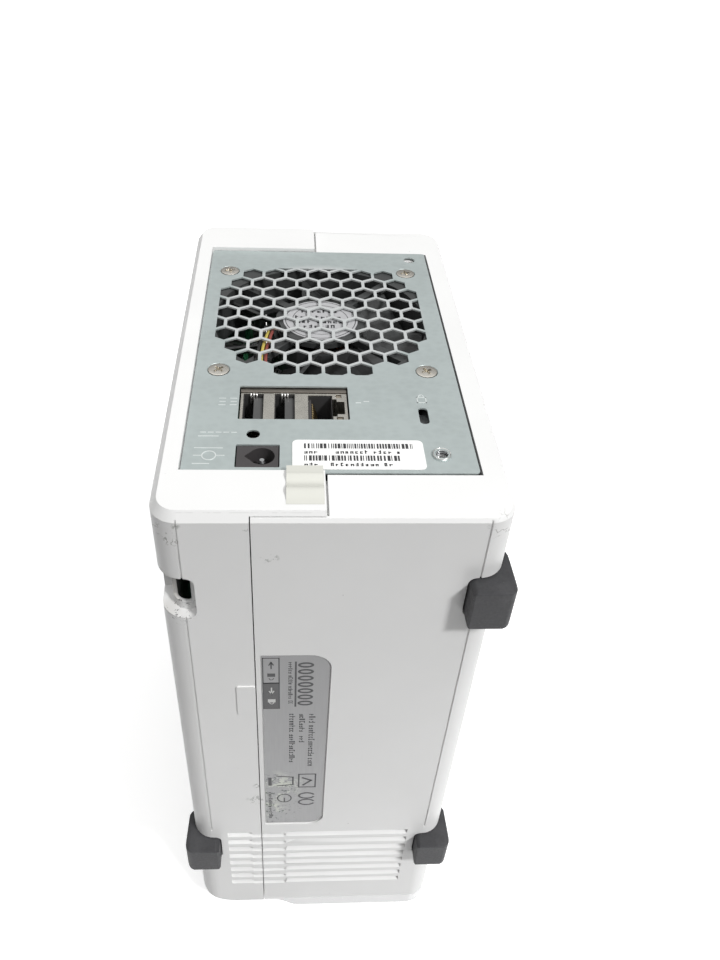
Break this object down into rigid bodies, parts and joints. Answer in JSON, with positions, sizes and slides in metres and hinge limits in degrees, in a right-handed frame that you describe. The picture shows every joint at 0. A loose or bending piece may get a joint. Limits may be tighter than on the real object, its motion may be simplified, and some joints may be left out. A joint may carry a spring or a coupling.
{
  "type": "two-bay network storage enclosure",
  "caption": "Slim upright two-shell network storage enclosure with a steel rear panel, hexagon fan grille, stacked ports, louvred underside and wrap-round rubber feet.",
  "frame": {"origin": "centre of the bounding box in plan, on the surface that the front bezel stands on", "axes": "+Z from the front bezel to the rear panel, -Y to the underside with the feet, +X to the side of the removable cover; the natural upright pose has -Y down and the bezel to the front"},
  "size_m": [0.0936, 0.16, 0.2191],
  "materials": {
    "white_shell": "satin white moulded plastic",
    "bezel_white": "glossy white moulded plastic",
    "column_grey": "glossy light grey plastic",
    "button_silver": "silver plastic",
    "panel_steel": "satin blue-grey coated sheet steel",
    "zinc_steel": "zinc-plated sheet steel",
    "tin": "tinned sheet",
    "nickel_screw": "nickel-plated steel",
    "steel": "plain steel",
    "foot_rubber": "matte dark grey rubber",
    "fan_black": "matte black",
    "black_plastic": "matte black",
    "pcb_green": "solder-masked board",
    "aluminium": "anodised",
    "copper": "enamelled copper and sintered bronze",
    "label_paper": "white polyester label",
    "label_silver": "silver-grey polyester label",
    "clear_lens": "clear acrylic",
    "ivory_plastic": "ivory plastic",
    "lead_red": "PVC insulation",
    "lead_yellow": "PVC insulation",
    "lead_black": "PVC insulation"
  },
  "bodies": {
    "cover": {"cover_shell": "white_shell", "front_bezel": "bezel_white", "rating_label": "label_silver", "foot_rear_right": "foot_rubber", "foot_front_right": "foot_rubber"},
    "base": {"base_shell": "white_shell", "column_panel": "column_grey", "front_board": "pcb_green", "power_switch": "black_plastic", "copy_switch": "black_plastic", "light_pipe": "clear_lens", "front_usb_shell": "tin", "front_usb_tongue": "ivory_plastic", "rear_panel": "panel_steel", "fan_screw_1": "nickel_screw", "fan_screw_2": "nickel_screw", "fan_screw_3": "nickel_screw", "fan_screw_4": "nickel_screw", "serial_label": "label_paper", "lock_bracket": "zinc_steel", "cord_clip": "white_shell", "fan_frame": "fan_black", "fan_bearing": "copper", "fan_stator": "copper", "fan_hub_label": "label_silver", "fan_lead_red": "lead_red", "fan_lead_yellow": "lead_yellow", "fan_lead_black": "lead_black", "fan_plug": "ivory_plastic", "mainboard": "pcb_green", "mainboard_screw_1": "steel", "mainboard_screw_2": "steel", "mainboard_screw_3": "steel", "mainboard_screw_4": "steel", "processor": "black_plastic", "heat_sink": "aluminium", "memory_chip": "black_plastic", "usb_tongue_1": "black_plastic", "usb_tongue_2": "black_plastic", "port_shield": "tin", "lan_insert": "black_plastic", "dc_jack_body": "black_plastic", "dc_jack_pin": "steel", "reset_switch": "black_plastic", "drive_cage": "zinc_steel", "cage_screw_1": "steel", "cage_screw_2": "steel", "cage_screw_3": "steel", "cage_screw_4": "steel", "drive_board": "pcb_green", "board_link": "black_plastic", "drive_connector_1": "black_plastic", "drive_connector_2": "black_plastic", "foot_front_left": "foot_rubber"},
    "fan_rotor": {"fan_rotor": "fan_black", "rotor_magnet": "black_plastic", "fan_shaft": "steel"},
    "power_button": {"power_button": "button_silver"},
    "copy_button": {"copy_button": "button_silver"},
    "reset_button": {"reset_button": "black_plastic"}
  },
  "joints": [
    {"name": "casing_slide", "type": "slide", "parent": "cover", "child": "base", "axis": [0, 0, 1], "range_m": [0, 0.013]},
    {"name": "fan_spin", "type": "hinge", "parent": "base", "child": "fan_rotor", "pos_m": [-0.0011, 0.0167, 0.206], "axis": [0, 0, 1], "continuous": true},
    {"name": "power_press", "type": "slide", "parent": "base", "child": "power_button", "axis": [0, 0, 1], "range_m": [0, 0.0009], "stiffness_N_per_m": 900},
    {"name": "copy_press", "type": "slide", "parent": "base", "child": "copy_button", "axis": [0, 0, 1], "range_m": [0, 0.0009], "stiffness_N_per_m": 900},
    {"name": "reset_press", "type": "slide", "parent": "base", "child": "reset_button", "axis": [0, 0, -1], "range_m": [0, 0.0006], "stiffness_N_per_m": 900}
  ]
}
